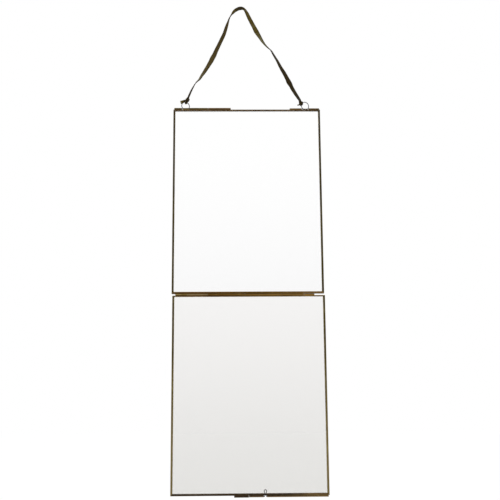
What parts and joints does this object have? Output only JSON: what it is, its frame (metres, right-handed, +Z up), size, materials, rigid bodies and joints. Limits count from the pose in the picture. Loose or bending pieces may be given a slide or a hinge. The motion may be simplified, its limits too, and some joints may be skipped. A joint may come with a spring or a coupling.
{
  "type": "hanging double photo frame",
  "caption": "Two hinged portrait frames of clear glass in thin aged brass, hung one above the other by a twisted leather strap; each opens at the front for a photo.",
  "frame": {"origin": "the hanging point: where a nail or hook carries the strap under its highest bend", "axes": "+Z up, +X to the right as seen from the front, +Y backwards to the wall; the glass faces -Y"},
  "size_m": [0.207, 0.0087, 0.6839],
  "materials": {
    "rail_brass": "antique brass, dark patina",
    "hinge_brass": "antique brass, rubbed",
    "pin_wire": "darkened wire",
    "ring_wire": "dull drawn wire",
    "clear_glass": "clear, polished",
    "strap_leather": "waxed, dark olive brown"
  },
  "bodies": {
    "hanger": {"leather_strap": "strap_leather", "left_knot": "strap_leather", "right_knot": "strap_leather", "left_ring": "ring_wire", "right_ring": "ring_wire"},
    "upper_rear": {"upper_rear_top_rail": "rail_brass", "upper_rear_bottom_rail": "rail_brass", "upper_rear_left_rail": "rail_brass", "upper_rear_right_rail": "rail_brass", "upper_rear_glass": "clear_glass", "left_hinge_outer_knuckle": "hinge_brass", "left_hinge_inner_knuckle": "hinge_brass", "right_hinge_outer_knuckle": "hinge_brass", "left_hinge_pin": "pin_wire", "right_hinge_pin": "pin_wire", "fold_knuckle_left": "hinge_brass", "fold_knuckle_right": "hinge_brass", "fold_pin": "pin_wire"},
    "upper_front": {"upper_front_top_rail": "rail_brass", "upper_front_bottom_rail": "rail_brass", "upper_front_left_rail": "rail_brass", "upper_front_right_rail": "rail_brass", "upper_front_glass": "clear_glass", "left_hinge_leaf_knuckle": "hinge_brass", "right_hinge_leaf_knuckle": "hinge_brass", "left_ring_lip": "hinge_brass"},
    "lower_rear": {"lower_rear_top_rail": "rail_brass", "lower_rear_bottom_rail": "rail_brass", "lower_rear_left_rail": "rail_brass", "lower_rear_right_rail": "rail_brass", "lower_rear_glass": "clear_glass", "hinge_link_left": "hinge_brass", "hinge_link_middle": "hinge_brass", "hinge_link_right": "hinge_brass", "lower_leaf_pin": "pin_wire", "catch_tube_short": "hinge_brass", "catch_tube_long": "hinge_brass"},
    "lower_front": {"lower_front_top_rail": "rail_brass", "lower_front_bottom_rail": "rail_brass", "lower_front_left_rail": "rail_brass", "lower_front_right_rail": "rail_brass", "lower_front_glass": "clear_glass", "lower_leaf_knuckle_left": "hinge_brass", "lower_leaf_knuckle_right": "hinge_brass", "lower_leaf_knuckle_end": "hinge_brass", "finger_tab": "rail_brass"},
    "catch": {"wire_catch": "pin_wire"}
  },
  "joints": [
    {"name": "frame_swing", "type": "hinge", "parent": "hanger", "child": "upper_rear", "pos_m": [0, 0, -0.1526], "axis": [1, 0, 0], "range_deg": [-15, 15]},
    {"name": "upper_leaf_open", "type": "hinge", "parent": "upper_rear", "child": "upper_front", "pos_m": [0, 0, -0.1526], "axis": [-1, 0, 0], "range_deg": [0, 70]},
    {"name": "frame_fold", "type": "hinge", "parent": "upper_rear", "child": "lower_rear", "pos_m": [0, 0.0031, -0.41635], "axis": [1, 0, 0], "range_deg": [0, 170]},
    {"name": "lower_leaf_open", "type": "hinge", "parent": "lower_rear", "child": "lower_front", "pos_m": [0, -0.0016, -0.41635], "axis": [-1, 0, 0], "range_deg": [0, 75]},
    {"name": "catch_turn", "type": "hinge", "parent": "lower_rear", "child": "catch", "pos_m": [0, 0, -0.6795], "axis": [1, 0, 0], "range_deg": [0, 120]}
  ]
}
